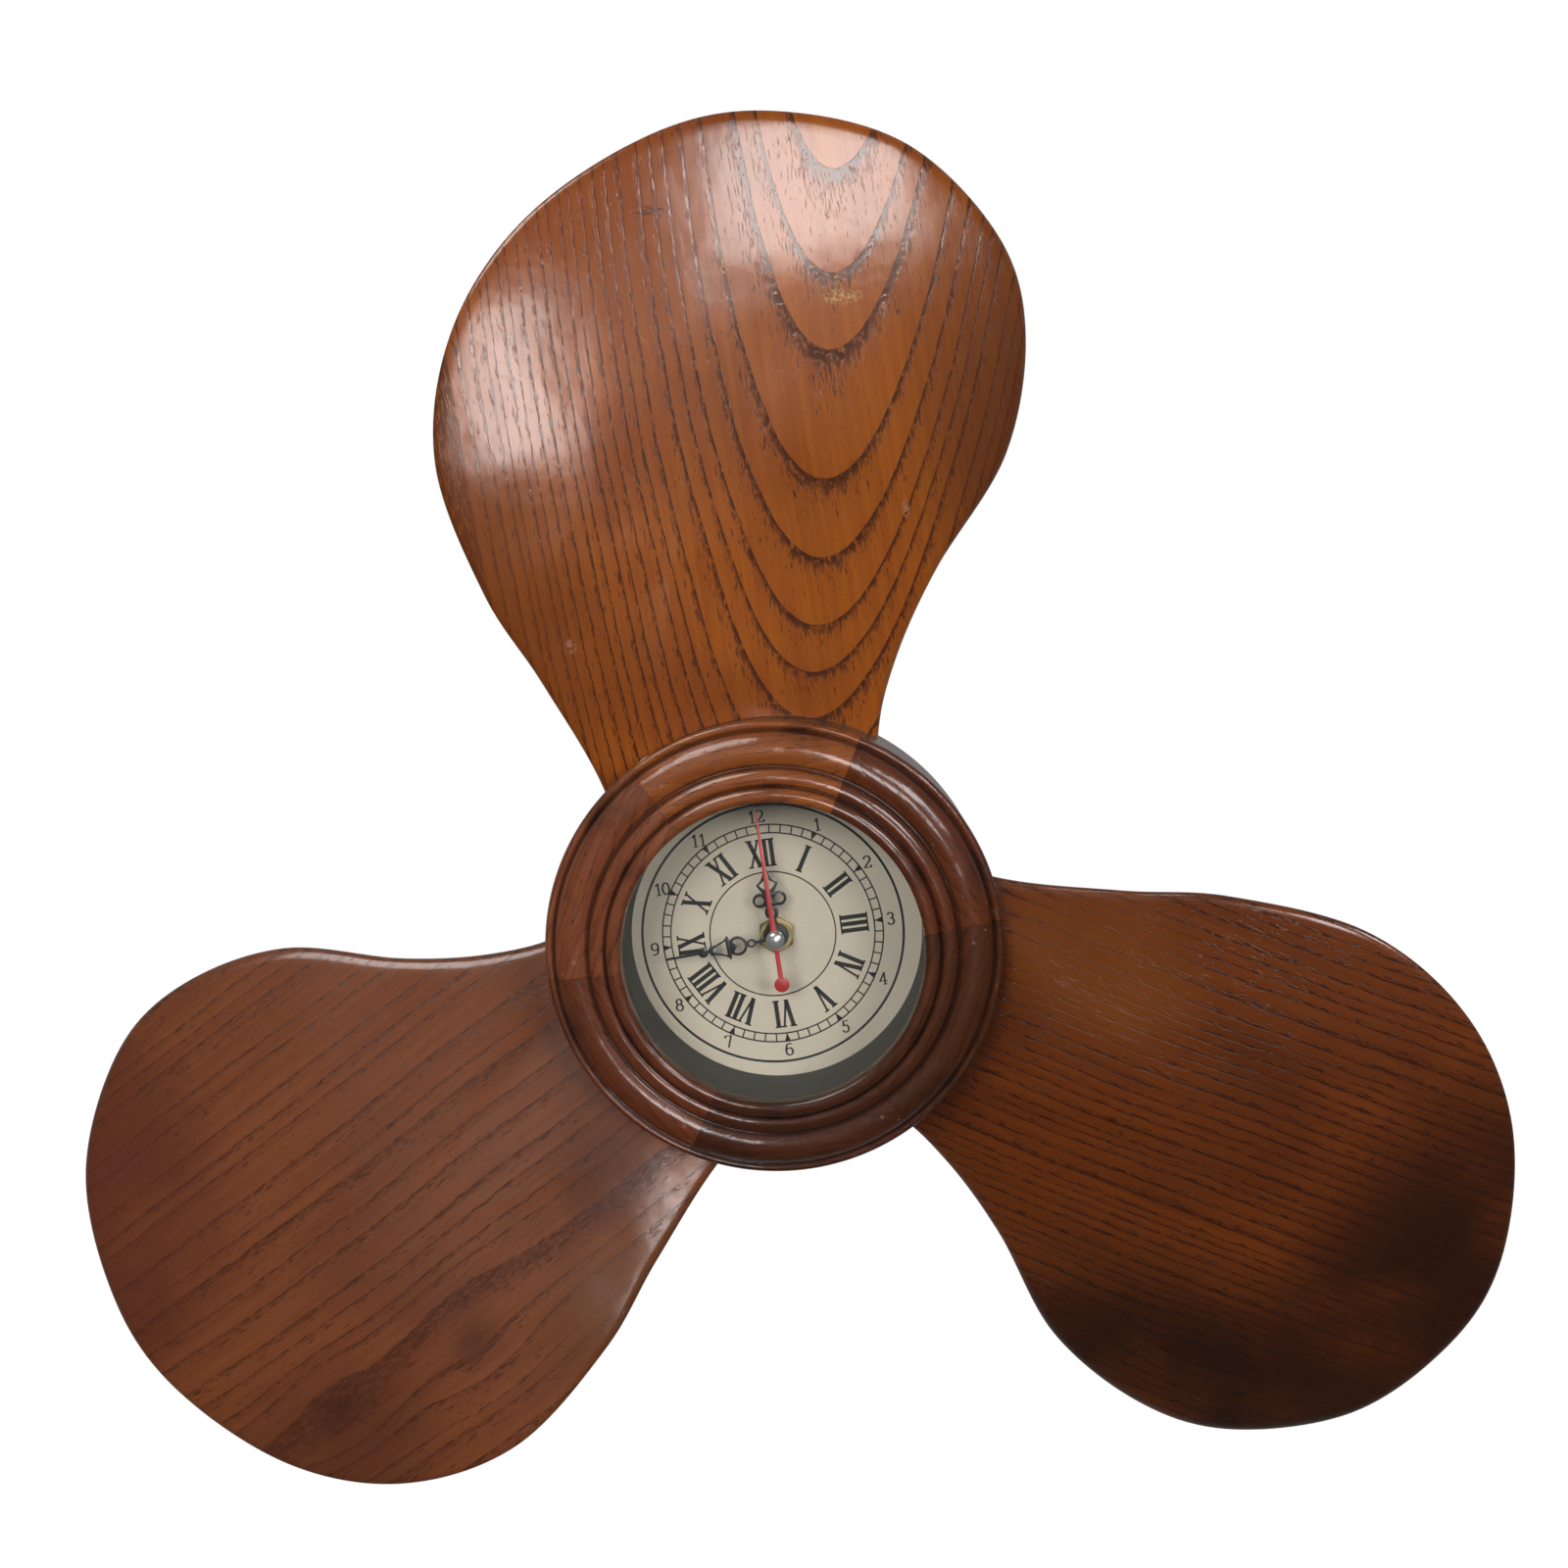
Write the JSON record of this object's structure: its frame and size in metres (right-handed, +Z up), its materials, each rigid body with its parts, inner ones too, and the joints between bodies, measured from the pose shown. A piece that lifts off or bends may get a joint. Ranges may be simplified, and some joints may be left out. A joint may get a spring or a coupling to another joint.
{
  "type": "propeller wall clock",
  "caption": "Carved wooden wall clock shaped as a three-bladed ship's propeller, with a turned hub ring, glazed dial, hands and a battery quartz movement.",
  "frame": {"origin": "on the hanger plate's back face, in the wall plane, where the hanging nail bears; the shaft is 59 mm straight below it", "axes": "+Z up to 12 o'clock, +X to the right seen from the front, +Y into the wall; the dial faces -Y"},
  "size_m": [0.4748, 0.0663, 0.4619],
  "materials": {
    "blade_wood": "satin varnish over open-pored carved hardwood",
    "hub_wood": "satin varnish, dark",
    "ring_wood": "gloss varnish, turned",
    "dowel_wood": "bare",
    "clear_glass": "clear float glass",
    "lining_card": "dull dark grey card",
    "dial_board": "bare fibreboard",
    "dial_paper": "matt printed paper",
    "black_plastic": "fine moulded texture",
    "white_plastic": "moulded acetal",
    "washer_rubber": "matt",
    "brass": "dulled",
    "steel": "zinc plated",
    "chrome": "polished",
    "hand_black": "satin black",
    "hand_red": "satin red",
    "copper_wire": "enamelled winding",
    "circuit_green": "solder mask",
    "battery_wrap": "printed film sleeve, plain",
    "magnet_black": "ferrite and plastic"
  },
  "bodies": {
    "clock": {"top_blade": "blade_wood", "top_blade_high_dowel": "dowel_wood", "top_blade_low_dowel": "dowel_wood", "left_blade": "blade_wood", "left_blade_high_dowel": "dowel_wood", "left_blade_low_dowel": "dowel_wood", "right_blade": "blade_wood", "right_blade_high_dowel": "dowel_wood", "right_blade_low_dowel": "dowel_wood", "hub_drum": "hub_wood", "ring_wedge_1": "ring_wood", "ring_wedge_2": "ring_wood", "ring_wedge_3": "ring_wood", "ring_wedge_4": "ring_wood", "ring_wedge_5": "ring_wood", "ring_wedge_6": "ring_wood", "dial_glass": "clear_glass", "lining_sleeve": "lining_card", "dial_board": "dial_board", "dial_paper": "dial_paper", "hanger_plate": "steel", "hanger_screw_left": "steel", "hanger_screw_right": "steel", "movement_case": "black_plastic", "movement_back_cover": "black_plastic", "rubber_washer": "washer_rubber", "hex_nut": "brass", "battery": "battery_wrap", "positive_contact": "steel", "negative_contact": "steel", "stator": "steel", "coil_core": "steel", "motor_coil": "copper_wire", "circuit_board": "circuit_green", "quartz_crystal": "steel"},
    "second_hand": {"second_hand": "hand_red", "second_hand_cap": "chrome", "seconds_wheel": "white_plastic"},
    "minute_hand": {"minute_hand": "hand_black", "minute_cannon": "white_plastic"},
    "hour_hand": {"hour_hand": "hand_black", "hour_wheel": "white_plastic"},
    "centre_wheel": {"centre_wheel": "white_plastic"},
    "reverser_wheel": {"reverser_wheel": "white_plastic"},
    "third_wheel": {"third_wheel": "white_plastic"},
    "middle_wheel": {"middle_wheel": "white_plastic"},
    "rotor": {"rotor": "magnet_black"},
    "setting_knob": {"setting_knob": "black_plastic"}
  },
  "joints": [
    {"name": "minute_hand_turn", "type": "hinge", "parent": "clock", "child": "minute_hand", "pos_m": [0, -0.02, -0.059], "axis": [0, 1, 0], "continuous": true},
    {"name": "hour_hand_turn", "type": "hinge", "parent": "clock", "child": "hour_hand", "pos_m": [0, -0.02, -0.059], "axis": [0, 1, 0], "continuous": true},
    {"name": "reverser_turn", "type": "hinge", "parent": "clock", "child": "reverser_wheel", "pos_m": [-0.00804, -0.02, -0.059], "axis": [0, 1, 0], "continuous": true},
    {"name": "setting_knob_turn", "type": "hinge", "parent": "clock", "child": "setting_knob", "pos_m": [-0.01206, -0.02, -0.05204], "axis": [0, 1, 0], "continuous": true},
    {"name": "second_hand_turn", "type": "hinge", "parent": "clock", "child": "second_hand", "pos_m": [0, -0.02, -0.059], "axis": [0, 1, 0], "continuous": true},
    {"name": "middle_wheel_turn", "type": "hinge", "parent": "clock", "child": "middle_wheel", "pos_m": [-0.00146, -0.02, -0.05069], "axis": [0, 1, 0], "continuous": true},
    {"name": "rotor_turn", "type": "hinge", "parent": "clock", "child": "rotor", "pos_m": [0.00205, -0.02, -0.04461], "axis": [0, 1, 0], "continuous": true},
    {"name": "third_wheel_turn", "type": "hinge", "parent": "clock", "child": "third_wheel", "pos_m": [0.00782, -0.02, -0.05449], "axis": [0, 1, 0], "continuous": true},
    {"name": "centre_wheel_turn", "type": "hinge", "parent": "clock", "child": "centre_wheel", "pos_m": [0, -0.02, -0.059], "axis": [0, 1, 0], "continuous": true}
  ],
  "couplings": [
    {"joint": "hour_hand_turn", "follows": "minute_hand_turn", "ratio": 0.083333},
    {"joint": "reverser_turn", "follows": "minute_hand_turn", "ratio": -0.33333},
    {"joint": "setting_knob_turn", "follows": "minute_hand_turn", "ratio": 1},
    {"joint": "middle_wheel_turn", "follows": "second_hand_turn", "ratio": -5},
    {"joint": "rotor_turn", "follows": "second_hand_turn", "ratio": 30},
    {"joint": "third_wheel_turn", "follows": "second_hand_turn", "ratio": -0.13333},
    {"joint": "centre_wheel_turn", "follows": "second_hand_turn", "ratio": 0.016667}
  ]
}
